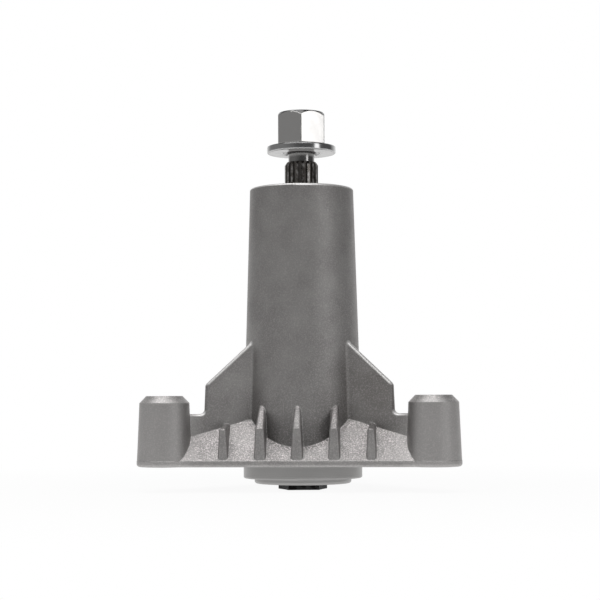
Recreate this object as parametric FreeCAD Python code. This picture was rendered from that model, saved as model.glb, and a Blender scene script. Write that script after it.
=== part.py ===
import FreeCAD, Part
import math
import os

from FreeCAD import Vector

# Mower deck spindle: a cast aluminium housing that bolts to the deck, with a splined steel shaft
# turning in it on two sealed ball bearings. Sizes are in millimetres. The origin is on the shaft's
# axis in the face that lies on the deck, +Z runs up the shaft, and the long straight front edge of
# the base faces -Y.

# Ball bearings, 17 x 40 x 12, with the usual shares of the ring section for balls and lands
bearing_bore = 17.0
bearing_outside = 40.0
bearing_width = 12.0
ball_share = 0.293
land_gap_share = 0.217
ring_corner = 0.6
ball_count = 8
groove_clearance = 0.05
cage_wall = 0.7
cage_width_share = 0.66
cage_ball_gap = 0.15
cage_seal_gap = 0.2
rivet_share = 0.4
rivet_head_share = 0.75
rivet_head_height = 0.4
rivet_clearance = 0.05
seal_thickness = 1.0
seal_recess = 0.5
seal_lip_gap = 0.3
seal_rabbet_depth = 0.85

# Fits between turned pieces, and the cone that a drill leaves
press_gap = 0.02
slide_gap = 0.05
drill_tip_angle = 31.0

# Tube of the housing
tube_height = 140.0
tube_top_radius = 26.35
cast_draft = 1.65
tube_rim_radius = 1.2
bore_mouth_chamfer = 0.6
core_relief = 1.8
upper_bearing_recess = 1.7

# Hub below the deck face, with the machined disc that closes it
hub_diameter = 60.0
hub_depth = 6.7
hub_edge_radius = 0.8
rim_diameter = 49.0
rim_depth = 2.7
rim_edge_radius = 1.3
lower_bearing_recess = 0.8

# Base plate with its three bolt bosses
front_boss_x = 66.4
front_boss_y = -26.4
boss_base_radius = 13.65
boss_collar_step = 0.15
boss_draft = 2.3
boss_height = 34.8
boss_flat_radius = 9.0
boss_chamfer_drop = 3.45
boss_foot_radius = 1.5
boss_tap_drill = 6.6
boss_tap_depth = 25.0
boss_mouth_chamfer = 0.5
lip_overhang = 9.8
lip_height = 3.0
lip_foot_radius = 1.2
front_skirt_apex = 41.55
rear_skirt_apex = 33.0
skirt_wall = 4.2
lip_wall = 5.0
hub_wall_margin = 1.0

# Tall fins from the tube to the bosses
fin_root_y = -8.29
fin_top_thickness = 3.4
fin_draft = 0.85
fin_edge_draft = 2.3
fin_edge_from_boss = 19.9
fin_corner_height = 40.4
fin_top_angle = 42.6
fin_step_height = 25.8
fin_corner_radius = 2.5
fin_edge_radius = 1.6
fin_root_radius = 2.0
fin_embed = 5.0

# Low ribs across the skirts
rib_pitch = 18.1
rib_setback = 0.35
rib_nose_height = 18.6
rib_tube_height = 29.7
rib_fin_height = 21.3
rib_top_thickness = 3.2
rib_draft = 3.1
rib_edge_radius = 1.3
rib_embed = 3.0
skirt_embed = 2.0

# Shaft
shoulder_radius = 11.0
spline_teeth = 18
spline_depth = 0.95
spline_crest_share = 0.44
spline_valley_share = 0.32
spline_above_tube = 13.7
spline_start_gap = 1.0
spline_chamfer_height = 1.6
spline_chamfer_radius = 7.4
neck_radius = 6.63
neck_height = 3.8
thread_diameter = 14.28
thread_end_chamfer = 1.2
thread_end_below_nut = 1.2
star_points = 5
star_tip_radius = 13.0
star_valley_radius = 10.2
star_thickness = 3.0
star_turn = 6.7
blade_bolt_diameter = 9.52
blade_tap_depth = 28.0
blade_mouth_chamfer = 0.8

# Spacer tube between the inner rings
spacer_outside = 22.0

# Nut with its captive washer
nut_across_flats = 23.5
nut_height = 17.4
nut_collar_radius = 11.3
nut_collar_height = 0.8
nut_chamfer_radius = 11.4
nut_chamfer_angle = 48.0
nut_turn = 4.9
nut_mouth_chamfer = 0.8
nut_spigot_radius = 8.7
nut_flare_radius = 9.5
nut_flare_height = 0.9
washer_diameter = 35.14
washer_thickness = 3.5
washer_above_spline = 4.6
washer_edge_radius = 0.6
washer_gap = 0.3

bearing_radius = bearing_outside / 2
shaft_radius = bearing_bore / 2
hub_radius = hub_diameter / 2
hub_bottom = -hub_depth - rim_depth
tube_taper = math.tan(math.radians(cast_draft))
tube_base_radius = tube_top_radius + tube_height * tube_taper
upper_bearing_top = tube_height - upper_bearing_recess
lower_bearing_bottom = hub_bottom + lower_bearing_recess
lower_bearing_top = lower_bearing_bottom + bearing_width
upper_bearing_bottom = upper_bearing_top - bearing_width
boss_circle = math.hypot(front_boss_x, front_boss_y)
spline_top_height = tube_height + spline_above_tube
washer_bottom_height = spline_top_height + washer_above_spline
washer_top_height = washer_bottom_height + washer_thickness
nut_top_height = washer_top_height + nut_height
drill_tip = math.tan(math.radians(drill_tip_angle))

axis_up = Vector(0, 0, 1)
origin = Vector(0, 0, 0)


def turned(profile):
    """A solid turned about the shaft's axis from (radius, height) points."""
    corners = [Vector(radius, 0, height) for radius, height in profile]
    return Part.Face(Part.makePolygon(corners + corners[:1])).revolve(origin, axis_up, 360)


def plate(corners, thickness):
    """A flat profile in the XZ plane given thickness along Y, centred on that plane."""
    points = [Vector(x, -thickness / 2, z) for x, z in corners]
    return Part.Face(Part.makePolygon(points + points[:1])).extrude(Vector(0, thickness, 0))


def drafted_slab(length, top_height, top_thickness, draft):
    """A slab along X from x = 0 that thickens downwards from its top to z = 0."""
    foot = top_thickness / 2 + top_height * math.tan(math.radians(draft))
    top = top_thickness / 2
    points = [Vector(0, -foot, 0), Vector(0, foot, 0),
              Vector(0, top, top_height), Vector(0, -top, top_height)]
    return Part.Face(Part.makePolygon(points + points[:1])).extrude(Vector(length, 0, 0))


def rounded(solid, radius, wanted):
    """The solid with the edges that wanted() picks given a radius."""
    return solid.makeFillet(radius, [edge for edge in solid.Edges if wanted(edge)])


def is_circle_at(edge, radius, height):
    """Whether an edge is a full circle of this radius at this height."""
    curve = edge.Curve
    return (isinstance(curve, Part.Circle) and abs(curve.Radius - radius) < 1e-4
            and abs(curve.Center.z - height) < 1e-4)


def turn_about_axis(point, degrees):
    """A point turned about the shaft's axis."""
    angle = math.radians(degrees)
    return Vector(point.x * math.cos(angle) - point.y * math.sin(angle),
                  point.x * math.sin(angle) + point.y * math.cos(angle), point.z)


def around(solid, count, start=0.0):
    """Copies of a solid evenly spaced round the shaft's axis."""
    copies = []
    for number in range(count):
        copy = solid.copy()
        copy.rotate(origin, axis_up, start + 360.0 * number / count)
        copies.append(copy)
    return copies


# Housing

front_bosses = [Vector(side * front_boss_x, front_boss_y, 0) for side in (-1, 1)]
rear_boss = Vector(0, boss_circle, 0)
fins = [(Vector(0, fin_root_y, 0), boss) for boss in front_bosses] + [(origin, rear_boss)]
rear_side_turn = 90 + math.degrees(math.atan2(front_boss_x, boss_circle - front_boss_y))
rear_edge = front_boss_x * boss_circle / math.hypot(front_boss_x, boss_circle - front_boss_y)
rear_edge += lip_overhang
sides = [(0.0, lip_overhang - front_boss_y, front_skirt_apex),
         (rear_side_turn, rear_edge, rear_skirt_apex),
         (-rear_side_turn, rear_edge, rear_skirt_apex)]


def skirt_rise(edge, apex):
    """How steeply a skirt climbs from its lip towards the shaft's axis."""
    return (apex - lip_height) / edge


def skirted_block(inset, roof, bottom):
    """The block under the three sloping skirts, drawn in from its edges and down from its top."""
    reach = 2 * boss_circle
    block = Part.makeCylinder(boss_circle - inset, reach, Vector(0, 0, bottom))
    for turn, edge, apex in sides:
        rise = skirt_rise(edge, apex)
        drop = roof * math.hypot(1, rise)
        edge_top = lip_height + inset * rise - drop
        corners = [(-(edge - inset), bottom), (-(edge - inset), edge_top),
                   (reach, edge_top + (reach + edge - inset) * rise), (reach, bottom)]
        wedge = plate(corners, 2 * reach)
        wedge.rotate(origin, axis_up, turn + 90)
        block = block.common(wedge)
    return block


def boss():
    """A drafted bolt boss with a low collar at its foot and a broad chamfer round its flat top."""
    shoulder_height = boss_height - boss_chamfer_drop
    foot = boss_base_radius - boss_collar_step
    shoulder = foot - (shoulder_height - lip_height) * math.tan(math.radians(boss_draft))
    body = turned([(0, 0), (boss_base_radius, 0), (boss_base_radius, lip_height),
                   (foot, lip_height), (shoulder, shoulder_height),
                   (boss_flat_radius, boss_height), (0, boss_height)])
    return rounded(body, boss_foot_radius, lambda edge: is_circle_at(edge, boss_base_radius, 0))


def fin(root, boss_centre):
    """A tall fin along the line from the tube to a boss, with a step down to the boss."""
    run = boss_centre.sub(root)
    rise = math.tan(math.radians(fin_top_angle))
    tube_radius = tube_base_radius - fin_corner_height * tube_taper - fin_embed
    along = run.Length - math.sqrt(tube_radius ** 2 - root.y ** 2)
    lean = (fin_corner_height - fin_step_height) * math.tan(math.radians(fin_edge_draft))
    corner = fin_edge_from_boss + lean
    top = fin_corner_height + (along - corner) * rise
    outline = plate([(0, 0), (0, fin_step_height), (fin_edge_from_boss, fin_step_height),
                     (corner, fin_corner_height), (along, top), (along, 0)], boss_base_radius)
    outline = rounded(outline, fin_corner_radius, lambda edge: (
        fin_edge_from_boss - 0.01 < edge.CenterOfMass.x < corner + 0.01
        and abs(edge.CenterOfMass.y) < 0.01))
    body = outline.common(drafted_slab(along, top, fin_top_thickness, fin_draft))
    body = rounded(body, fin_edge_radius, lambda edge: (
        edge.CenterOfMass.z > fin_step_height - 0.1 and 0.1 < edge.CenterOfMass.x < along - 0.1
        and abs(edge.CenterOfMass.y) > 0.1))
    body.rotate(origin, axis_up, math.degrees(math.atan2(-run.y, -run.x)))
    body.translate(boss_centre)
    return body


def is_fin_root(edge):
    """Whether an edge is where a fin's face runs into the drafted face of the tube."""
    if isinstance(edge.Curve, (Part.Line, Part.Circle)):
        return False
    span = edge.LastParameter - edge.FirstParameter
    points = [edge.valueAt(edge.FirstParameter + share * span) for share in (0.25, 0.5, 0.75)]
    return all(abs(math.hypot(point.x, point.y) - tube_base_radius + point.z * tube_taper) < 1e-3
               for point in points)


def distance_to_fin(turn, offset):
    """How far out the fin on this side's left or right stands, measured along a rib's line."""
    for root, boss_centre in fins:
        near, far = turn_about_axis(root, -turn), turn_about_axis(boss_centre, -turn)
        if far.x * offset > 0 and far.y < 0:
            share = (offset - near.x) / (far.x - near.x)
            return -(near.y + share * (far.y - near.y))


def rib(turn, edge, apex, offset):
    """A low rib square to an edge of the base, ending on the tube, or on a fin if it misses it."""
    rise = skirt_rise(edge, apex)
    nose = edge - rib_setback
    tube_radius = tube_base_radius - rib_tube_height * tube_taper
    if abs(offset) < tube_radius:
        end, end_height = math.sqrt(tube_radius ** 2 - offset ** 2), rib_tube_height
        inner = end - rib_embed
    else:
        end, end_height = distance_to_fin(turn, offset), rib_fin_height
        inner = end
    nose_foot = lip_height + rib_setback * rise - skirt_embed
    inner_foot = min(lip_height + (edge - inner) * rise, end_height) - skirt_embed
    outline = plate([(nose, nose_foot), (nose, rib_nose_height), (end, end_height),
                     (inner, end_height), (inner, inner_foot)], 2 * rib_pitch)
    slab = drafted_slab(edge, end_height, rib_top_thickness, rib_draft)
    body = outline.common(slab)
    body = rounded(body, rib_edge_radius, lambda side: (
        (side.CenterOfMass.z > rib_nose_height - 0.1 and side.CenterOfMass.x > end)
        or (side.CenterOfMass.x > nose - 0.01 and abs(side.CenterOfMass.y) > 0.1)))
    body.translate(Vector(0, offset, 0))
    body.rotate(origin, axis_up, turn - 90)
    return body


def housing():
    """The cast housing in one piece, bored for the bearings and tapped for the deck bolts."""
    rim_radius = rim_diameter / 2
    tube = turned([(0, 0), (tube_base_radius, 0), (tube_top_radius, tube_height), (0, tube_height)])
    tube = rounded(tube, tube_rim_radius,
                   lambda edge: is_circle_at(edge, tube_top_radius, tube_height))
    trunk = tube.multiFuse([fin(root, centre) for root, centre in fins])
    trunk = rounded(trunk, fin_root_radius, is_fin_root)
    hub = turned([(0, hub_bottom), (rim_radius, hub_bottom), (rim_radius, -hub_depth),
                  (hub_radius, -hub_depth), (hub_radius, 0), (0, 0)])
    hub = rounded(hub, rim_edge_radius, lambda edge: is_circle_at(edge, rim_radius, hub_bottom))
    hub = rounded(hub, hub_edge_radius, lambda edge: is_circle_at(edge, hub_radius, -hub_depth))
    base = rounded(skirted_block(0, 0, 0), lip_foot_radius, lambda edge: (
        abs(edge.CenterOfMass.z) < 1e-3 and isinstance(edge.Curve, Part.Line)))
    pocket = skirted_block(lip_wall, skirt_wall, -1)
    pocket = pocket.cut(Part.makeCylinder(tube_base_radius + hub_wall_margin, tube_height,
                                          Vector(0, 0, -2)))
    body = base.cut(pocket).multiFuse([trunk, hub])
    for centre in front_bosses + [rear_boss]:
        one = boss()
        one.translate(centre)
        body = body.fuse(one)
    ribs = [rib(turn, edge, apex, number * rib_pitch)
            for turn, edge, apex in sides for number in (-2, -1, 0, 1, 2)]
    body = body.multiFuse(ribs)

    seat = bearing_radius + press_gap
    core = bearing_radius - core_relief
    body = body.cut(turned([
        (0, hub_bottom), (seat + bore_mouth_chamfer, hub_bottom),
        (seat, hub_bottom + bore_mouth_chamfer), (seat, lower_bearing_top),
        (core, lower_bearing_top), (core, upper_bearing_bottom), (seat, upper_bearing_bottom),
        (seat, tube_height - bore_mouth_chamfer), (seat + bore_mouth_chamfer, tube_height),
        (0, tube_height)]))
    for centre in front_bosses + [rear_boss]:
        drill = boss_tap_drill / 2
        hole = turned([(0, 0), (drill + boss_mouth_chamfer, 0), (drill, boss_mouth_chamfer),
                       (drill, boss_tap_depth), (0, boss_tap_depth + drill * drill_tip)])
        hole.translate(centre)
        body = body.cut(hole)
    return body.removeSplitter()


# Ball bearings

section = bearing_outside - bearing_bore
pitch_radius = (shaft_radius + bearing_radius) / 2
inner_shoulder = pitch_radius - land_gap_share * section / 2
outer_shoulder = pitch_radius + land_gap_share * section / 2
half_width = bearing_width / 2
seal_room = half_width - seal_recess - seal_thickness - cage_seal_gap
ball_radius = min(ball_share * section / 2, seal_room - cage_wall - cage_ball_gap)
ball_step = 360.0 / ball_count
cup_radius = ball_radius + cage_ball_gap
cage_width = cage_width_share * land_gap_share * section
rivet_room = 2 * (pitch_radius * math.sin(math.radians(ball_step / 2)) - cup_radius - cage_wall)


def ball_groove():
    """The ring-shaped path of the balls, cut from both rings."""
    return Part.makeTorus(pitch_radius, ball_radius + groove_clearance)


def outer_ring():
    """Outer ring with its ball groove and a rabbet at each face for the seal."""
    rabbet = outer_shoulder + seal_rabbet_depth
    rabbet_floor = half_width - seal_recess - seal_thickness
    profile = [(outer_shoulder, -rabbet_floor), (rabbet, -rabbet_floor), (rabbet, -half_width),
               (bearing_radius - ring_corner, -half_width), (bearing_radius, ring_corner - half_width)]
    mirror = [(radius, -height) for radius, height in reversed(profile)]
    return turned(profile + mirror).cut(ball_groove())


def inner_ring():
    """Inner ring with its ball groove."""
    bore = shaft_radius + press_gap
    profile = [(bore + ring_corner, -half_width), (inner_shoulder, -half_width)]
    mirror = [(radius, -height) for radius, height in reversed(profile)]
    return turned([(bore, ring_corner - half_width)] + profile + mirror
                  + [(bore, half_width - ring_corner)]).cut(ball_groove())


def balls():
    """The balls, evenly spaced on the pitch circle."""
    ball = Part.makeSphere(ball_radius, Vector(pitch_radius, 0, 0))
    return Part.makeCompound(around(ball, ball_count))


def cage_half():
    """The upper half of the pressed ribbon cage, bent over each ball in a round arch."""
    inside = pitch_radius - cage_width / 2
    band = Part.makeCylinder(inside + cage_width, cage_wall).cut(
        Part.makeCylinder(inside, cage_wall))
    out = Vector(1, 0, 0)
    start = Vector(inside, 0, 0)
    arch = Part.makeCylinder(cup_radius + cage_wall, cage_width, start, out)
    arch = arch.common(Part.makeBox(bearing_radius, bearing_radius, bearing_radius,
                                    Vector(0, -bearing_radius / 2, 0)))
    room = Part.makeCylinder(cup_radius, 3 * cage_width, start.sub(out * cage_width), out)
    hole = Part.makeCylinder(rivet_share * rivet_room / 2 + rivet_clearance, cage_wall,
                             Vector(pitch_radius, 0, 0))
    body = band.multiFuse(around(arch, ball_count))
    return body.cut(around(room, ball_count) + around(hole, ball_count, ball_step / 2))


def cage_rivets():
    """The rivets that hold the two cage halves together, one between each pair of balls."""
    shank = rivet_share * rivet_room / 2
    head = rivet_head_share * rivet_room / 2
    top = cage_wall + rivet_head_height
    profile = [(0, -top), (head, -top), (head, -cage_wall), (shank, -cage_wall)]
    mirror = [(radius, -height) for radius, height in reversed(profile)]
    rivet = turned(profile + mirror)
    rivet.translate(Vector(pitch_radius, 0, 0))
    return Part.makeCompound(around(rivet, ball_count, ball_step / 2))


def seal():
    """The upper seal: a flat ring held in the outer ring, with a lip beside the inner ring."""
    outside = outer_shoulder + seal_rabbet_depth - press_gap
    lip = inner_shoulder + seal_lip_gap
    top = half_width - seal_recess
    bottom = top - seal_thickness
    return turned([(lip, bottom), (outside, bottom), (outside, top), (lip + seal_thickness, top),
                   (lip, top - seal_thickness / 2)])


def turned_over(solid):
    """The same piece turned over for the other face of the bearing."""
    copy = solid.copy()
    copy.rotate(origin, Vector(1, 0, 0), 180)
    return copy


def bearing(name, bottom):
    """All the pieces of one bearing, named and lifted to their place on the shaft."""
    pieces = {
        "outer_ring": outer_ring(),
        "inner_ring": inner_ring(),
        "balls": balls(),
        "cage_top": cage_half(),
        "cage_bottom": turned_over(cage_half()),
        "cage_rivets": cage_rivets(),
        "top_seal": seal(),
        "bottom_seal": turned_over(seal()),
    }
    for piece in pieces.values():
        piece.translate(Vector(0, 0, bottom + half_width))
    return {name + "_" + piece_name: piece for piece_name, piece in pieces.items()}


# Shaft

thread_radius = thread_diameter / 2
shaft_bottom = hub_bottom - star_thickness
spline_bottom = upper_bearing_top + spline_start_gap
thread_top = nut_top_height - thread_end_below_nut


def spline_point(radius, place):
    """A point on the outline of the splines, placed by counting teeth round the shaft."""
    angle = place * 2 * math.pi / spline_teeth
    return Vector(radius * math.cos(angle), radius * math.sin(angle), spline_bottom)


def splines():
    """The splined top of the shaft, with wedge-shaped teeth and a chamfer at their upper ends."""
    root = shaft_radius - spline_depth
    crest = spline_crest_share / 2
    valley = spline_valley_share / 2
    edges = []
    for tooth in range(spline_teeth):
        outer = [spline_point(shaft_radius, tooth + share) for share in (-crest, 0, crest)]
        inner = [spline_point(root, tooth + 0.5 + share) for share in (-valley, 0, valley)]
        following = spline_point(shaft_radius, tooth + 1 - crest)
        edges += [Part.Arc(*outer).toShape(), Part.LineSegment(outer[2], inner[0]).toShape(),
                  Part.Arc(*inner).toShape(), Part.LineSegment(inner[2], following).toShape()]
    length = spline_top_height - spline_bottom
    section = Part.Face(Part.Wire(edges))
    envelope = turned([(0, spline_bottom), (shaft_radius, spline_bottom),
                       (shaft_radius, spline_top_height - spline_chamfer_height),
                       (spline_chamfer_radius, spline_top_height), (0, spline_top_height)])
    return section.extrude(Vector(0, 0, length)).common(envelope)


def star():
    """The star at the foot of the shaft, whose points drive the blade."""
    corners = []
    for number in range(2 * star_points):
        radius = star_tip_radius if number % 2 == 0 else star_valley_radius
        angle = math.radians(90 + star_turn + number * 180.0 / star_points)
        corners.append(Vector(radius * math.cos(angle), radius * math.sin(angle), shaft_bottom))
    return Part.Face(Part.makePolygon(corners + corners[:1])).extrude(Vector(0, 0, star_thickness))


def shaft():
    """The spindle shaft in one piece, from the star that drives the blade to the top thread."""
    neck_top = spline_top_height + neck_height
    body = turned([
        (0, hub_bottom), (shoulder_radius, hub_bottom), (shoulder_radius, lower_bearing_bottom),
        (shaft_radius, lower_bearing_bottom), (shaft_radius, spline_bottom),
        (neck_radius, spline_bottom), (neck_radius, neck_top), (thread_radius, neck_top),
        (thread_radius, thread_top - thread_end_chamfer),
        (thread_radius - thread_end_chamfer, thread_top), (0, thread_top)])
    body = body.multiFuse([star(), splines()])
    hole = blade_bolt_diameter / 2
    body = body.cut(turned([
        (0, shaft_bottom), (hole + blade_mouth_chamfer, shaft_bottom),
        (hole, shaft_bottom + blade_mouth_chamfer), (hole, shaft_bottom + blade_tap_depth),
        (0, shaft_bottom + blade_tap_depth + hole * drill_tip)]))
    return body.removeSplitter()


def spacer_tube():
    """The plain tube that keeps the two inner rings apart."""
    outside = Part.makeCylinder(spacer_outside / 2, upper_bearing_bottom - lower_bearing_top,
                                Vector(0, 0, lower_bearing_top))
    return outside.cut(Part.makeCylinder(shaft_radius + slide_gap, tube_height))


# Nut and washer

flare_bottom = washer_bottom_height + washer_gap
flare_top = flare_bottom + nut_flare_height


def nut():
    """The hexagon nut, with the spigot whose flared end keeps the washer on it."""
    corner = nut_across_flats / 2 / math.cos(math.radians(30))
    hexagon = [Vector(corner * math.cos(math.radians(60 * side - 90 + nut_turn)),
                      corner * math.sin(math.radians(60 * side - 90 + nut_turn)),
                      washer_top_height + nut_collar_height) for side in range(6)]
    block = Part.Face(Part.makePolygon(hexagon + hexagon[:1])).extrude(
        Vector(0, 0, nut_height - nut_collar_height))
    slope = math.tan(math.radians(nut_chamfer_angle))
    block = block.common(turned([
        (0, washer_top_height), (2 * corner, washer_top_height),
        (2 * corner, nut_top_height - (2 * corner - nut_chamfer_radius) * slope),
        (nut_chamfer_radius, nut_top_height), (0, nut_top_height)]))
    skirt = turned([
        (0, flare_bottom), (nut_flare_radius, flare_bottom), (nut_spigot_radius, flare_top),
        (nut_spigot_radius, washer_top_height), (nut_collar_radius, washer_top_height),
        (nut_collar_radius, washer_top_height + nut_collar_height),
        (0, washer_top_height + nut_collar_height)])
    hole = thread_radius + slide_gap
    mouth = hole + nut_mouth_chamfer
    bore = turned([
        (0, flare_bottom), (mouth, flare_bottom), (hole, flare_bottom + nut_mouth_chamfer),
        (hole, nut_top_height - nut_mouth_chamfer), (mouth, nut_top_height), (0, nut_top_height)])
    return block.fuse(skirt).cut(bore).removeSplitter()


def washer():
    """The thick washer, countersunk below for the flare of the nut's spigot."""
    radius = washer_diameter / 2
    hole = nut_spigot_radius + washer_gap
    sunk = nut_flare_radius + washer_gap + (nut_flare_radius - nut_spigot_radius) * (
        washer_gap / nut_flare_height)
    body = turned([
        (sunk, washer_bottom_height), (radius, washer_bottom_height), (radius, washer_top_height),
        (hole, washer_top_height), (hole, flare_top)])
    return rounded(body, washer_edge_radius, lambda edge: (
        is_circle_at(edge, radius, washer_bottom_height)
        or is_circle_at(edge, radius, washer_top_height)))


pieces = {"housing": housing(), "shaft": shaft(), "spacer_tube": spacer_tube(),
          "nut": nut(), "washer": washer()}
pieces.update(bearing("lower", lower_bearing_bottom))
pieces.update(bearing("upper", upper_bearing_bottom))

os.makedirs("parts", exist_ok=True)
for name, shape in pieces.items():
    shape.exportStep("parts/" + name + ".step")
    print(name, "valid" if shape.isValid() else "NOT VALID", len(shape.Solids),
          round(shape.Volume, 1))
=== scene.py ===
import math

import bpy
from mathutils import Matrix, Vector


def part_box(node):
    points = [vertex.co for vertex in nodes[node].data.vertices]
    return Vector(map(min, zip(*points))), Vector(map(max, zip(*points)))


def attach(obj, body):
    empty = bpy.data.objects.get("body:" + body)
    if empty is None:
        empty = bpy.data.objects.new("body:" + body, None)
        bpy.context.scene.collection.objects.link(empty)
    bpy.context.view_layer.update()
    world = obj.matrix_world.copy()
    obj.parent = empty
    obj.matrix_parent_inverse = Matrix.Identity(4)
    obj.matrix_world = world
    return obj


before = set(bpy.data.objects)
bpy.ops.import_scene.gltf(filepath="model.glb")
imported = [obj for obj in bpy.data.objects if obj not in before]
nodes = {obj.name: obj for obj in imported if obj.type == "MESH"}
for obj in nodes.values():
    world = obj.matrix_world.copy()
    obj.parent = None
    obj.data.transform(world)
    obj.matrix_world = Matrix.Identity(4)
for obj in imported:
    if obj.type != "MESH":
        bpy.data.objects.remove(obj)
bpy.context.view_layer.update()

# Housing: one aluminium casting with a drafted tube, three bolt bosses, fins and ribs. It is shot
# blasted grey after the casting, and then the bearing seats, the mouth of the tube, the deck face
# and the hub are turned in one chucking.


def join(tree, value, socket):
    """Feed a socket from another socket, or set it to a plain value."""
    if isinstance(value, bpy.types.NodeSocket):
        tree.links.new(value, socket)
    else:
        socket.default_value = value


def reckon(tree, operation, first, second=0.0):
    """The result of a math node."""
    node = tree.nodes.new("ShaderNodeMath")
    node.operation = operation
    join(tree, first, node.inputs[0])
    join(tree, second, node.inputs[1])
    return node.outputs["Value"]


def carried(tree, value, low, high, first=0.0, last=1.0):
    """A value carried from one range into another, and held at its ends."""
    node = tree.nodes.new("ShaderNodeMapRange")
    for name, level in (("Value", value), ("From Min", low), ("From Max", high),
                        ("To Min", first), ("To Max", last)):
        join(tree, level, node.inputs[name])
    return node.outputs["Result"]


def spread(tree, noise, first=0.0, last=1.0):
    """Noise, which keeps near one half, carried into a range that it fills."""
    return carried(tree, noise, 0.35, 0.65, first, last)


def cloud(tree, position, scale, detail=2.0, roughness=0.5):
    """Soft random values round one half."""
    node = tree.nodes.new("ShaderNodeTexNoise")
    for name, level in (("Vector", position), ("Scale", scale), ("Detail", detail),
                        ("Roughness", roughness)):
        join(tree, level, node.inputs[name])
    return node.outputs["Fac"]


def tinted(tree, amount, plain, marked):
    """One colour with another laid over it by a mask."""
    node = tree.nodes.new("ShaderNodeMix")
    node.data_type = "RGBA"
    join(tree, amount, node.inputs["Factor"])
    join(tree, plain, node.inputs["A"])
    join(tree, marked, node.inputs["B"])
    return node.outputs["Result"]


def radius_and_height(tree, position):
    """How far a point is from the shaft's axis, and how high it lies."""
    split = tree.nodes.new("ShaderNodeSeparateXYZ")
    join(tree, position, split.inputs["Vector"])
    squares = [reckon(tree, "MULTIPLY", split.outputs[side], split.outputs[side])
               for side in ("X", "Y")]
    return reckon(tree, "SQRT", reckon(tree, "ADD", *squares)), split.outputs["Z"]


def upward(tree, normal="Normal"):
    """How far the surface faces up: one on a level top, and nought on a wall."""
    surface = tree.nodes.new("ShaderNodeNewGeometry")
    facing = tree.nodes.new("ShaderNodeSeparateXYZ")
    join(tree, surface.outputs[normal], facing.inputs["Vector"])
    return facing.outputs["Z"]


def new_group(name, inputs, outputs):
    """An empty node group with its sockets, and its input and output nodes."""
    group = bpy.data.node_groups.new(name, "ShaderNodeTree")
    for title, kind, value in inputs:
        socket = group.interface.new_socket(title, in_out="INPUT", socket_type=kind)
        if value is not None:
            socket.default_value = value
    for title in outputs:
        group.interface.new_socket(title, in_out="OUTPUT", socket_type="NodeSocketFloat")
    return group, group.nodes.new("NodeGroupInput"), group.nodes.new("NodeGroupOutput")


def blasted_skin_group():
    """Shot-blasted casting: its pits as a height, and flecks (painted denser on faces lit from
    above), blotches and specks as masks.
    """
    group, given, out = new_group(
        "blasted_skin",
        [("Position", "NodeSocketVector", None), ("Pits Per Metre", "NodeSocketFloat", 1500.0),
         ("Blotches Per Metre", "NodeSocketFloat", 60.0),
         ("Specks Per Metre", "NodeSocketFloat", 70.0)],
        ["Height", "Top Lit Flecks", "Blotches", "Specks"])
    position = given.outputs["Position"]
    pits = cloud(group, position, given.outputs["Pits Per Metre"], 3.0, 0.65)
    join(group, pits, out.inputs["Height"])
    flecks = carried(group, pits, 0.48, 0.68)
    # Flecks are painted denser on faces that point up, as painted top light.
    top_light_share = carried(group, upward(group), 0.2, 0.65, 0.30, 1.0)
    join(group, reckon(group, "MULTIPLY", flecks, top_light_share), out.inputs["Top Lit Flecks"])
    blotches = cloud(group, position, given.outputs["Blotches Per Metre"], 3.0, 0.55)
    join(group, spread(group, blotches), out.inputs["Blotches"])
    cells = group.nodes.new("ShaderNodeTexVoronoi")
    join(group, position, cells.inputs["Vector"])
    join(group, given.outputs["Specks Per Metre"], cells.inputs["Scale"])
    ragged = reckon(group, "MULTIPLY", pits, 0.034)
    speck = reckon(group, "LESS_THAN", cells.outputs["Distance"], ragged)
    join(group, speck, out.inputs["Specks"])
    return group


def tool_rings_group():
    """Marks of a turning tool: rings about the shaft's axis, as a height and as a shade."""
    group, given, out = new_group(
        "tool_rings",
        [("Position", "NodeSocketVector", None), ("Rings Per Metre", "NodeSocketFloat", 4000.0)],
        ["Height", "Shade"])
    radius, height = radius_and_height(group, given.outputs["Position"])
    along = group.nodes.new("ShaderNodeCombineXYZ")
    join(group, radius, along.inputs["X"])
    join(group, height, along.inputs["Y"])
    rings = cloud(group, along.outputs["Vector"], given.outputs["Rings Per Metre"], 2.0, 0.6)
    join(group, rings, out.inputs["Height"])
    join(group, spread(group, rings), out.inputs["Shade"])
    return group


def worn_edges_group():
    """Where sharp edges have been rubbed, broken up by patches, as a mask."""
    group, given, out = new_group(
        "worn_edges",
        [("Position", "NodeSocketVector", None), ("Width", "NodeSocketFloat", 0.0003),
         ("Patches Per Metre", "NodeSocketFloat", 900.0)],
        ["Mask"])
    softened = group.nodes.new("ShaderNodeBevel")
    softened.samples = 4
    join(group, given.outputs["Width"], softened.inputs["Radius"])
    surface = group.nodes.new("ShaderNodeNewGeometry")
    likeness = group.nodes.new("ShaderNodeVectorMath")
    likeness.operation = "DOT_PRODUCT"
    join(group, softened.outputs["Normal"], likeness.inputs[0])
    join(group, surface.outputs["Normal"], likeness.inputs[1])
    edge = carried(group, likeness.outputs["Value"], 0.995, 0.90)
    patches = cloud(group, given.outputs["Position"], given.outputs["Patches Per Metre"], 3.0, 0.6)
    join(group, reckon(group, "MULTIPLY", edge, carried(group, patches, 0.35, 0.55)),
         out.inputs["Mask"])
    return group


def placed(tree, group, values):
    """A node group put in a material with its own values."""
    node = tree.nodes.new("ShaderNodeGroup")
    node.node_tree = group
    for name, value in values.items():
        join(tree, value, node.inputs[name])
    return node


def new_material(name):
    """A new material, with its node tree, its shader and the Object coordinates of its piece."""
    material = bpy.data.materials.new(name)
    material.use_nodes = True
    tree = material.node_tree
    position = tree.nodes.new("ShaderNodeTexCoord").outputs["Object"]
    return material, tree, tree.nodes["Principled BSDF"], position


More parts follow.
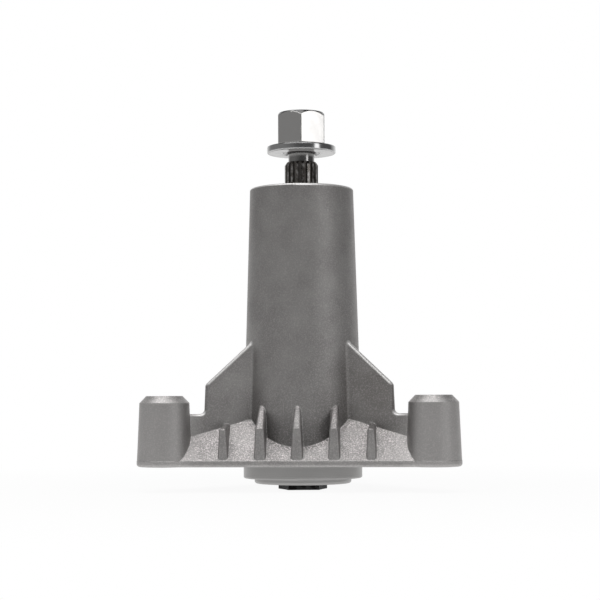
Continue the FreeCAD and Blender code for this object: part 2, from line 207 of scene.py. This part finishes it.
def coat(tree, shader, color, roughness, metallic=1.0):
    """Give a shader its colour, its roughness and its share of metal."""
    join(tree, color, shader.inputs["Base Color"])
    join(tree, roughness, shader.inputs["Roughness"])
    join(tree, metallic, shader.inputs["Metallic"])


def roughen(tree, shader, height, depth, strength, edge_radius=0.0):
    """Raise and sink the surface by a height map so many metres deep, and soften its edges."""
    bump = tree.nodes.new("ShaderNodeBump")
    if edge_radius:
        softened = tree.nodes.new("ShaderNodeBevel")
        softened.samples = 4
        softened.inputs["Radius"].default_value = edge_radius
        join(tree, softened.outputs["Normal"], bump.inputs["Normal"])
    join(tree, height, bump.inputs["Height"])
    join(tree, depth, bump.inputs["Distance"])
    join(tree, strength, bump.inputs["Strength"])
    join(tree, bump.outputs["Normal"], shader.inputs["Normal"])


def dress(node, material):
    """Put a material in every slot of a CAD node."""
    for place in nodes[node].material_slots:
        place.material = material


blasted_skin = blasted_skin_group()
tool_rings = tool_rings_group()
worn_edges = worn_edges_group()
tube_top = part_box("housing")[1].z
seat_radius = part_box("upper_outer_ring")[1].x
seat_chamfer = 0.0008
cut_margin = 0.0001
lip_edge = (0.0030, 0.0034)
boss_side = (0.047, 0.054)
boss_shoulder = (0.0325, 0.0335)
tube_foot = (0.014, 0.038)
tube_foot_skin = (0.0305, 0.0325)
boss_top_side = (0.0495, 0.0525)
fin_side = (0.044, 0.045)
skirt_height = 0.031
skirt_drop = 0.0085
# A darker patch on the right fin's face: its middle, its edge and how ragged the edge is.
dark_patch_middle = (0.041, -0.014, 0.038)
dark_patch_edge = (0.012, 0.036)
dark_patch_raggedness = 0.005
dark_skin = (0.280, 0.272, 0.267, 1)
light_skin = (0.350, 0.342, 0.335, 1)
# The next colour is painted light on the bosses and the lip's lower band.
painted_light_skin = (0.455, 0.445, 0.438, 1)
# The next colour is painted shade at the foot of the tube.
painted_shade_skin = (0.135, 0.130, 0.127, 1)
dark_patch_skin = (0.190, 0.178, 0.168, 1)
fleck_color = (0.72, 0.665, 0.67, 1)
speck_color = (0.60, 0.585, 0.575, 1)
# The next colour is painted top light on up-facing faces, and rubbed wear on edges.
highlight_and_wear_color = (0.82, 0.81, 0.80, 1)
cast, tree, shader, position = new_material("cast_aluminium")
skin = placed(tree, blasted_skin, {"Position": position})
rings = placed(tree, tool_rings, {"Position": position})
worn = placed(tree, worn_edges, {"Position": position, "Width": 0.0012})
radius, height = radius_and_height(tree, position)
mouth = reckon(tree, "GREATER_THAN", height, tube_top - cut_margin)
bore = reckon(tree, "LESS_THAN", radius, seat_radius + seat_chamfer)
bright_cut = reckon(tree, "MAXIMUM", mouth, bore)
dull_cut = reckon(tree, "LESS_THAN", height, cut_margin)
any_cut = reckon(tree, "MAXIMUM", bright_cut, dull_cut)
uncut = reckon(tree, "SUBTRACT", 1.0, any_cut)
sides = tree.nodes.new("ShaderNodeSeparateXYZ")
join(tree, position, sides.inputs["Vector"])
outboard = reckon(tree, "ABSOLUTE", sides.outputs["X"])
# Painted light: the bosses, and as a painted reflection of the floor the lip's lower band, are
# painted paler.
color = tinted(tree, skin.outputs["Blotches"], dark_skin, light_skin)
boss_painted_light = reckon(tree, "MULTIPLY", carried(tree, outboard, *boss_side, 0.0, 0.75),
                 carried(tree, height, *boss_shoulder, 1.0, 0.0))
lip_painted_reflection = carried(tree, height, *lip_edge, 0.25, 0.0)
color = tinted(tree, reckon(tree, "MAXIMUM", boss_painted_light, lip_painted_reflection), color, painted_light_skin)
# Painted shade: the tube's foot is painted darker, in the corner where it meets the skirts.
tube_foot_painted_shade = reckon(tree, "MULTIPLY", carried(tree, height, *tube_foot, 0.75, 0.0),
                      carried(tree, radius, *tube_foot_skin, 1.0, 0.0))
color = tinted(tree, tube_foot_painted_shade, color, painted_shade_skin)
# The right fin's face is painted darker in a ragged patch.
from_dark_patch = tree.nodes.new("ShaderNodeVectorMath")
from_dark_patch.operation = "DISTANCE"
join(tree, position, from_dark_patch.inputs[0])
join(tree, dark_patch_middle, from_dark_patch.inputs[1])
raggedness = reckon(tree, "MULTIPLY", skin.outputs["Blotches"], dark_patch_raggedness)
dark_patch_amount = carried(tree, reckon(tree, "ADD", from_dark_patch.outputs["Value"], raggedness),
                  *dark_patch_edge, 0.55, 0.0)
color = tinted(tree, dark_patch_amount, color, dark_patch_skin)
# Light flecks, denser where faces point up, as painted top light.
color = tinted(tree, reckon(tree, "MULTIPLY", skin.outputs["Top Lit Flecks"], 0.9), color, fleck_color)
color = tinted(tree, skin.outputs["Specks"], color, speck_color)
# Painted top light: what faces up above the skirts, the slopes of the fins and, less, the bosses,
# is painted lighter.
skirt_level = carried(tree, outboard, *fin_side, skirt_height, skirt_height - skirt_drop)
lit_tops = reckon(tree, "MULTIPLY", reckon(tree, "GREATER_THAN", height, skirt_level),
               carried(tree, upward(tree), 0.10, 0.40, 0.0, 0.9))
lit_tops = reckon(tree, "MULTIPLY", lit_tops, carried(tree, outboard, *boss_top_side, 1.0, 0.25))
# Sharp edges are lightened too, partly as rubbed wear and partly as painted edge highlights.
rubbed = reckon(tree, "MAXIMUM", lit_tops, reckon(tree, "MULTIPLY", worn.outputs["Mask"], 0.6))
color = tinted(tree, rubbed, color, highlight_and_wear_color)
for cut, dark, light in (
        (dull_cut, (0.300, 0.296, 0.291, 1), (0.400, 0.394, 0.388, 1)),
        (bright_cut, (0.56, 0.555, 0.55, 1), (0.64, 0.635, 0.63, 1))):
    color = tinted(tree, cut, color, tinted(tree, rings.outputs["Shade"], dark, light))
blended = tree.nodes.new("ShaderNodeMix")
join(tree, any_cut, blended.inputs["Factor"])
join(tree, spread(tree, skin.outputs["Height"], 0.56, 0.44), blended.inputs["A"])
join(tree, spread(tree, rings.outputs["Height"], 0.30, 0.42), blended.inputs["B"])
coat(tree, shader, color, blended.outputs["Result"], metallic=0.9)
grain = reckon(tree, "MULTIPLY", skin.outputs["Height"], uncut)
marks = reckon(tree, "MULTIPLY", reckon(tree, "MULTIPLY", rings.outputs["Height"], any_cut), 0.15)
roughen(tree, shader, reckon(tree, "ADD", grain, marks), depth=0.0002, strength=0.45,
        edge_radius=0.0007)
dress("housing", cast)

# Bearings: two sealed ball bearings pressed into the ends of the tube. Rings and balls are hardened
# steel, ground and polished, and the two halves of each cage are pressed from sheet and riveted.
ring_steel, tree, shader, position = new_material("ring_steel")
rings = placed(tree, tool_rings, {"Position": position, "Rings Per Metre": 6000.0})
stain = cloud(tree, position, 220.0, 3.0, 0.6)
color = tinted(tree, rings.outputs["Shade"], (0.56, 0.565, 0.57, 1), (0.63, 0.635, 0.64, 1))
color = tinted(tree, carried(tree, stain, 0.5, 0.8, 0.0, 0.5), color, (0.40, 0.395, 0.385, 1))
coat(tree, shader, color, spread(tree, stain, 0.16, 0.28))
roughen(tree, shader, rings.outputs["Height"], depth=0.00002, strength=0.3)

ball_steel, tree, shader, position = new_material("ball_steel")
film = cloud(tree, position, 500.0, 3.0, 0.6)
coat(tree, shader, tinted(tree, film, (0.60, 0.605, 0.61, 1), (0.68, 0.685, 0.69, 1)),
     spread(tree, film, 0.05, 0.14))

cage_steel, tree, shader, position = new_material("cage_steel")
dents = cloud(tree, position, 900.0, 3.0, 0.6)
patches = cloud(tree, position, 250.0, 2.0, 0.5)
coat(tree, shader, tinted(tree, patches, (0.42, 0.42, 0.42, 1), (0.55, 0.55, 0.55, 1)),
     spread(tree, dents, 0.30, 0.45))
roughen(tree, shader, dents, depth=0.00004, strength=0.3)

for end in ("lower_", "upper_"):
    for piece in ("outer_ring", "inner_ring"):
        dress(end + piece, ring_steel)
    for piece in ("cage_top", "cage_bottom", "cage_rivets"):
        dress(end + piece, cage_steel)
    dress(end + "balls", ball_steel)

# Seals: black rubber moulded on a flat steel washer, pushed into a groove of the outer ring at each
# face of a bearing. The mould leaves a satin skin with faint rings.
seal_rubber, tree, shader, position = new_material("seal_rubber")
rings = placed(tree, tool_rings, {"Position": position, "Rings Per Metre": 1800.0})
dust = carried(tree, cloud(tree, position, 420.0, 4.0, 0.65), 0.48, 0.75, 0.0, 0.5)
coat(tree, shader, tinted(tree, dust, (0.018, 0.018, 0.019, 1), (0.075, 0.072, 0.068, 1)),
     spread(tree, rings.outputs["Height"], 0.42, 0.58), metallic=0.0)
roughen(tree, shader, rings.outputs["Height"], depth=0.00006, strength=0.4)
for end in ("lower_", "upper_"):
    for piece in ("top_seal", "bottom_seal"):
        dress(end + piece, seal_rubber)

# Shaft: hardened steel in one piece, blackened in oil. The ground neck is bare and bright, the
# edges of the spline are rubbed bright by the pulley, and the star at the foot is dull black.
hub_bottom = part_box("housing")[0].z
shaft_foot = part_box("shaft")[0].z
washer_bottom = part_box("washer")[0].z
spline_radius = 0.0085
spline_top = washer_bottom - 0.0046
dark_oil = (0.125, 0.113, 0.102, 1)
light_oil = (0.19, 0.178, 0.165, 1)
bare_steel = (0.55, 0.54, 0.53, 1)
ground_dark = (0.30, 0.295, 0.29, 1)
ground_light = (0.38, 0.375, 0.37, 1)
dull_black = (0.010, 0.009, 0.009, 1)
worn_black = (0.05, 0.05, 0.05, 1)
edge_black = (0.12, 0.12, 0.12, 1)
shaft_steel, tree, shader, position = new_material("shaft_steel")
radius, height = radius_and_height(tree, position)
rings = placed(tree, tool_rings, {"Position": position, "Rings Per Metre": 5000.0})
worn = placed(tree, worn_edges, {"Position": position, "Width": 0.0002,
                                 "Patches Per Metre": 350.0})
oil = cloud(tree, position, 380.0, 3.0, 0.6)
on_star = reckon(tree, "LESS_THAN", height, hub_bottom + 0.0002)
on_neck = reckon(tree, "GREATER_THAN", height, spline_top + 0.00005)
crest = carried(tree, radius, spline_radius - 0.0002, spline_radius - 0.00005)
rubbed = reckon(tree, "MULTIPLY", crest, carried(tree, oil, 0.48, 0.62, 0.0, 0.8))
color = tinted(tree, oil, dark_oil, light_oil)
color = tinted(tree, reckon(tree, "MAXIMUM", worn.outputs["Mask"], rubbed), color, bare_steel)
color = tinted(tree, on_neck, color,
               tinted(tree, rings.outputs["Shade"], ground_dark, ground_light))
star_color = tinted(tree, reckon(tree, "MULTIPLY", worn.outputs["Mask"], 0.35),
                    tinted(tree, carried(tree, oil, 0.45, 0.65), dull_black, worn_black),
                    edge_black)
color = tinted(tree, on_star, color, star_color)
sheen = reckon(tree, "SUBTRACT", spread(tree, oil, 0.26, 0.38),
               reckon(tree, "MULTIPLY", on_neck, 0.17))
coat(tree, shader, color, reckon(tree, "ADD", sheen, reckon(tree, "MULTIPLY", on_star, 0.28)))
roughen(tree, shader, rings.outputs["Height"], depth=0.00003, strength=0.25)
dress("shaft", shaft_steel)

# Thread in the foot of the shaft: tapped 3/8 inch with 24 turns to the inch, for the one fine bolt
# that holds the blade up against the star.
bolt_radius = 0.00476
thread_pitch = 0.0254 / 24
thread_turns = 20
ridge_height = 0.54 * thread_pitch
ridge_base = 0.87 * thread_pitch
ridge_crest = 0.25 * thread_pitch
wall_bite = 0.00002
mouth_chamfer = 0.0008
thread_start = shaft_foot + mouth_chamfer + ridge_base / 2
bpy.ops.object.select_all(action="DESELECT")
bpy.ops.mesh.primitive_plane_add(
    size=1, rotation=(math.pi / 2, 0, 0),
    location=(bolt_radius + wall_bite - ridge_height / 2, 0, thread_start))
thread = bpy.context.object
thread.name = "blade_bolt_thread"
thread.scale = (ridge_height, ridge_base, 1)
bpy.ops.object.transform_apply(location=True, rotation=True, scale=True)
bpy.ops.object.mode_set(mode="EDIT")
bpy.ops.mesh.select_all(action="DESELECT")
bpy.ops.object.mode_set(mode="OBJECT")
for corner in thread.data.vertices:
    corner.select = corner.co.x < bolt_radius - ridge_height / 2
bpy.ops.object.mode_set(mode="EDIT")
bpy.ops.transform.resize(value=(1, 1, ridge_crest / ridge_base))
bpy.ops.object.mode_set(mode="OBJECT")
winding = thread.modifiers.new("winding", "SCREW")
winding.axis = "Z"
winding.angle = 2 * math.pi
winding.screw_offset = thread_pitch
winding.iterations = thread_turns
winding.steps = 32
winding.render_steps = 32
bpy.ops.object.modifier_apply(modifier="winding")
bpy.ops.object.mode_set(mode="EDIT")
bpy.ops.mesh.select_all(action="SELECT")
bpy.ops.mesh.remove_doubles(threshold=0.000001)
bpy.ops.mesh.select_all(action="SELECT")
bpy.ops.mesh.fill_holes(sides=4)
bpy.ops.mesh.select_all(action="SELECT")
bpy.ops.mesh.normals_make_consistent(inside=False)
bpy.ops.object.mode_set(mode="OBJECT")
bpy.ops.object.shade_smooth_by_angle(angle=math.radians(25))
thread.data.materials.clear()
thread.data.materials.append(shaft_steel)
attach(thread, "spindle")

# Spacer: a cut length of drawn steel tube that keeps the two inner rings apart. Drawing leaves fine
# streaks along it.
spacer_steel, tree, shader, position = new_material("spacer_steel")
drawn = tree.nodes.new("ShaderNodeMapping")
join(tree, position, drawn.inputs["Vector"])
drawn.inputs["Scale"].default_value = (1, 1, 0.03)
streaks = cloud(tree, drawn.outputs["Vector"], 1600.0, 3.0, 0.6)
coat(tree, shader, tinted(tree, streaks, (0.34, 0.34, 0.345, 1), (0.50, 0.50, 0.505, 1)),
     spread(tree, streaks, 0.28, 0.42))
roughen(tree, shader, streaks, depth=0.00004, strength=0.3)
dress("spacer_tube", spacer_steel)

# Nut and washer: a tall hexagon nut with a thick washer spun on to it, so that the washer turns but
# stays on. Both are turned from steel and plated with bright zinc, slightly clouded. The chamfers
# carry a painted dark reflection, the nut's foot in the washer painted shade; the washer's
# underside is darker.


def zinc_plate(name, pale, clouded, low, dark_below, ring_depth, roughest):
    """Bright zinc plate over steel, darker below a height, with a painted dark reflection on
    chamfer slopes.
    """
    material, tree, shader, position = new_material(name)
    worn = placed(tree, worn_edges, {"Position": position, "Width": 0.0004,
                                     "Patches Per Metre": 600.0})
    rings = placed(tree, tool_rings, {"Position": position, "Rings Per Metre": 3500.0})
    haze = cloud(tree, position, 260.0, 4.0, 0.6)
    height = radius_and_height(tree, position)[1]
    color = tinted(tree, haze, pale, clouded)
    color = tinted(tree, reckon(tree, "MULTIPLY", worn.outputs["Mask"], 0.3), color, bright_zinc)
    # Below a height: painted shade on the nut's foot inside the washer's bore; on the washer, a
    # darker underside.
    mottled_dark_below = tinted(tree, haze, dark_below, [0.75 * level for level in dark_below[:3]] + [1])
    color = tinted(tree, reckon(tree, "LESS_THAN", height, low), color, mottled_dark_below)
    # The slopes of turned chamfers are painted dark, as a painted reflection of dark surroundings.
    facing_up = upward(tree, "True Normal")
    sloping = reckon(tree, "MULTIPLY", reckon(tree, "GREATER_THAN", facing_up, 0.45),
                     reckon(tree, "LESS_THAN", facing_up, 0.9))
    color = tinted(tree, sloping, color, chamfer_painted_reflection)
    coat(tree, shader, color, spread(tree, haze, 0.12, roughest))
    roughen(tree, shader, rings.outputs["Height"], ring_depth, strength=0.2, edge_radius=0.0008)
    return material


bright_zinc = (0.86, 0.86, 0.855, 1)
# The next colour is a painted dark reflection on the turned chamfers.
chamfer_painted_reflection = (0.11, 0.11, 0.11, 1)
spigot_top = washer_bottom + 0.0030
dress("nut", zinc_plate("zinc_nut", pale=(0.69, 0.68, 0.67, 1), clouded=(0.64, 0.63, 0.62, 1),
                        low=spigot_top, dark_below=(0.13, 0.125, 0.12, 1),
                        ring_depth=0.000003, roughest=0.14))
dress("washer", zinc_plate("zinc_washer", pale=(0.58, 0.58, 0.58, 1), clouded=(0.48, 0.48, 0.48, 1),
                           low=washer_bottom + 0.0001, dark_below=(0.33, 0.325, 0.32, 1),
                           ring_depth=0.00002, roughest=0.20))

# Camera: where the photograph was taken from, a little below the middle of the housing and slightly
# to its right.
photo_size = 600.0
focal_pixels = 1607.945
turn = math.radians(4.9)
distance = 0.817705
eye = Vector((distance * math.sin(turn), -distance * math.cos(turn), 0.034142))
look_at = Vector((-0.001086, 0, 0.083318))
roll = -0.0051
forward = (look_at - eye).normalized()
level_right = forward.cross(Vector((0, 0, 1))).normalized()
level_up = level_right.cross(forward)
right = level_right * math.cos(roll) + level_up * math.sin(roll)
up = level_up * math.cos(roll) - level_right * math.sin(roll)
camera_data = bpy.data.cameras.new("camera")
camera_data.sensor_width = 36.0
camera_data.lens = camera_data.sensor_width * focal_pixels / photo_size
camera_data.clip_start = 0.01
camera = bpy.data.objects.new("camera", camera_data)
bpy.context.scene.collection.objects.link(camera)
camera.matrix_world = Matrix.Translation(eye) @ Matrix((right, up, -forward)).transposed().to_4x4()
bpy.context.scene.camera = camera

# Floor: a round sheet of white paper under the star. It keeps a soft shadow near the part, runs out
# into plain white, and lets the part be seen from below.
bpy.ops.object.select_all(action="DESELECT")
bpy.ops.mesh.primitive_circle_add(vertices=96, radius=2.0, fill_type="NGON",
                                  location=(0, 0, shaft_foot))
floor = bpy.context.object
floor.name = "floor"
bpy.ops.object.transform_apply(location=True)
paper, tree, shader, position = new_material("white_paper")
shader.inputs["Base Color"].default_value = (0.85, 0.85, 0.85, 1)
shader.inputs["Roughness"].default_value = 0.8


def seen_rays(tree):
    """One where a ray comes from the camera, a mirror or a glass, and nought elsewhere."""
    paths = tree.nodes.new("ShaderNodeLightPath")
    seen = reckon(tree, "MAXIMUM", paths.outputs["Is Camera Ray"], paths.outputs["Is Glossy Ray"])
    return reckon(tree, "MAXIMUM", seen, paths.outputs["Is Transmission Ray"])


radius = radius_and_height(tree, position)[0]
plain_white = tree.nodes.new("ShaderNodeEmission")
shown = tree.nodes.new("ShaderNodeMixShader")
shadow_edge = (0.10, 0.32)
share = carried(tree, radius, *shadow_edge, 0.93, 1.0)
join(tree, reckon(tree, "MULTIPLY", seen_rays(tree), share), shown.inputs["Fac"])
join(tree, shader.outputs["BSDF"], shown.inputs[1])
join(tree, plain_white.outputs["Emission"], shown.inputs[2])
sheet = tree.nodes.new("ShaderNodeMixShader")
join(tree, tree.nodes.new("ShaderNodeNewGeometry").outputs["Backfacing"], sheet.inputs["Fac"])
join(tree, shown.outputs["Shader"], sheet.inputs[1])
join(tree, tree.nodes.new("ShaderNodeBsdfTransparent").outputs["BSDF"], sheet.inputs[2])
join(tree, sheet.outputs["Shader"], tree.nodes["Material Output"].inputs["Surface"])
floor.data.materials.append(paper)

# Light: one wide soft box overhead, a small weak one to the right, and a white room that is bright
# behind the part and darker on the camera's side.


def softbox(name, place, target, width, length, power):
    """A large soft lamp aimed at a point."""
    lamp = bpy.data.lights.new(name, "AREA")
    lamp.shape = "RECTANGLE"
    lamp.size = width
    lamp.size_y = length
    lamp.energy = power
    holder = bpy.data.objects.new(name, lamp)
    bpy.context.scene.collection.objects.link(holder)
    holder.location = place
    aim = Vector(target) - Vector(place)
    holder.rotation_euler = aim.to_track_quat("-Z", "Y").to_euler()
    holder.visible_camera = False


softbox("top_light", place=(-0.05, -0.4, 1.2), target=(0, -0.3, 0.05), width=1.5, length=1.0,
        power=9.9)
softbox("right_light", place=(0.85, -0.53, 0.34), target=(0, 0, 0.1), width=0.30, length=0.36,
        power=0.6)

plain_level = 0.4
white_level = 1.0
world = bpy.data.worlds.new("studio")
bpy.context.scene.world = world
world.use_nodes = True
tree = world.node_tree
background = tree.nodes["Background"]
background.inputs["Color"].default_value = (1, 1, 1, 1)
heading = tree.nodes.new("ShaderNodeSeparateXYZ")
join(tree, tree.nodes.new("ShaderNodeTexCoord").outputs["Generated"], heading.inputs["Vector"])
front_level = carried(tree, heading.outputs["X"], -0.85, -0.1, 0.27, 0.11)
back_share = carried(tree, heading.outputs["Y"], 0.5, 0.95)
room = tree.nodes.new("ShaderNodeMix")
join(tree, back_share, room.inputs["Factor"])
join(tree, front_level, room.inputs["A"])
join(tree, white_level, room.inputs["B"])
paths = tree.nodes.new("ShaderNodeLightPath")
lit = tree.nodes.new("ShaderNodeMix")
join(tree, paths.outputs["Is Glossy Ray"], lit.inputs["Factor"])
join(tree, plain_level, lit.inputs["A"])
join(tree, room.outputs["Result"], lit.inputs["B"])
shown = reckon(tree, "MAXIMUM", paths.outputs["Is Camera Ray"],
               paths.outputs["Is Transmission Ray"])
join(tree, reckon(tree, "MAXIMUM", shown, lit.outputs["Result"]), background.inputs["Strength"])
bpy.context.scene.view_settings.view_transform = "Standard"
